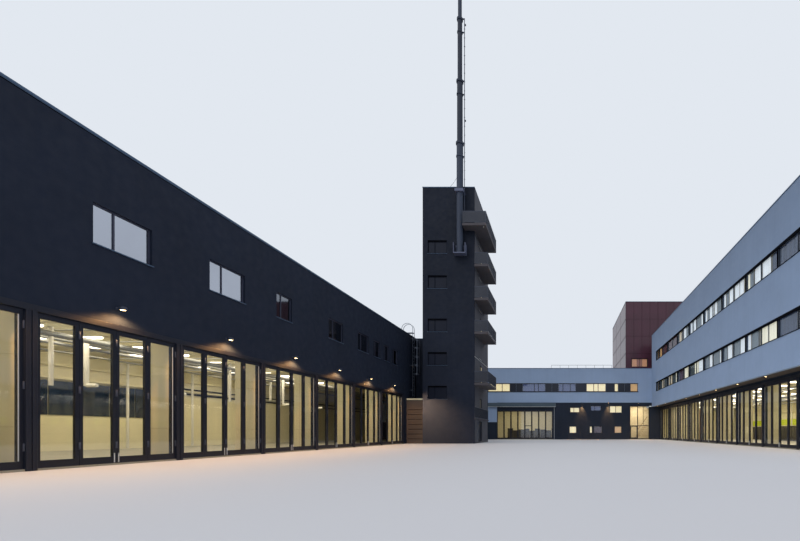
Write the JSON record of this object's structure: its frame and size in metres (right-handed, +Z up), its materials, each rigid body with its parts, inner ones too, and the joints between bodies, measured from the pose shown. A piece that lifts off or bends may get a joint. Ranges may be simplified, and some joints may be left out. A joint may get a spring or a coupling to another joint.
{
  "type": "fire station building, half-scale model",
  "caption": "Fire station round a yard: glazed folding-door halls, a training tower with balconies and a telescopic mast, and office wings.",
  "frame": {"origin": "middle of the plan's outer box, at ground level", "axes": "+X to the right of someone in the yard who faces the back wing, +Y towards the back wing, +Z up"},
  "size_m": [28.03, 36.98, 21.5],
  "materials": {
    "anthracite_cladding": "satin",
    "pale_cladding": "satin",
    "red_cladding": "satin",
    "grey_concrete": "matt",
    "concrete": "matt",
    "cream_plaster": "matt",
    "roof_sheet": "matt",
    "door_frame": "satin",
    "window_frame": "satin",
    "dark_metal": "satin",
    "coping_metal": "satin",
    "galvanised_steel": "satin",
    "mast_steel": "satin",
    "glass": "clear",
    "lamp_glass": "frosted"
  },
  "bodies": {
    "building": {"back_floors": "concrete", "back_folding_doors": "door_frame", "back_front_wall": "pale_cladding", "back_glass": "glass", "back_rear_walls": "pale_cladding", "back_roof": "roof_sheet", "back_wall_over_entrance": "pale_cladding", "back_windows": "window_frame", "balcony_rails": "dark_metal", "balcony_slabs": "grey_concrete", "door_fascia": "dark_metal", "entrance_frame": "door_frame", "entrance_side_walls": "anthracite_cladding", "infill_gate": "dark_metal", "infill_roof": "roof_sheet", "infill_wall": "anthracite_cladding", "interior_piers": "cream_plaster", "left_end_wall": "anthracite_cladding", "left_floors": "concrete", "left_folding_doors": "door_frame", "left_front_wall": "anthracite_cladding", "left_glass": "glass", "left_outer_wall": "anthracite_cladding", "left_roof": "roof_sheet", "left_windows": "window_frame", "mast_brackets": "galvanised_steel", "mast_conduit": "galvanised_steel", "mast_section_1": "mast_steel", "mast_section_2": "mast_steel", "mast_section_3": "mast_steel", "mast_section_4": "mast_steel", "parapet_copings": "coping_metal", "red_floors": "concrete", "red_front_wall": "red_cladding", "red_glass": "glass", "red_rear_walls": "red_cladding", "red_windows": "window_frame", "right_end_wall": "pale_cladding", "right_facade": "pale_cladding", "right_floors": "concrete", "right_folding_doors": "door_frame", "right_glass": "glass", "right_ground_wall": "anthracite_cladding", "right_outer_wall": "pale_cladding", "right_roof": "roof_sheet", "right_windows": "window_frame", "roof_guardrail": "galvanised_steel", "roof_ladder": "galvanised_steel", "tower_floors": "concrete", "tower_front_wall": "anthracite_cladding", "tower_glass": "glass", "tower_rear_walls": "anthracite_cladding", "tower_side_front_pier": "grey_concrete", "tower_side_rear_pier": "grey_concrete", "tower_side_wall": "grey_concrete", "tower_windows": "window_frame", "wall_lamps": "lamp_glass"},
    "tower_door_leaf": {"tower_door": "door_frame"},
    "entrance_leaf": {"entrance_door": "door_frame", "entrance_door_glass": "glass"}
  },
  "joints": [
    {"name": "tower_door_hinge", "type": "hinge", "parent": "building", "child": "tower_door_leaf", "pos_m": [-4.2127, -1.599, 0], "axis": [0, 0, 1], "range_deg": [0, 100]},
    {"name": "entrance_hinge", "type": "hinge", "parent": "building", "child": "entrance_leaf", "pos_m": [5.114, 8.2777, 0], "axis": [0, 0, -1], "range_deg": [0, 100]}
  ]
}
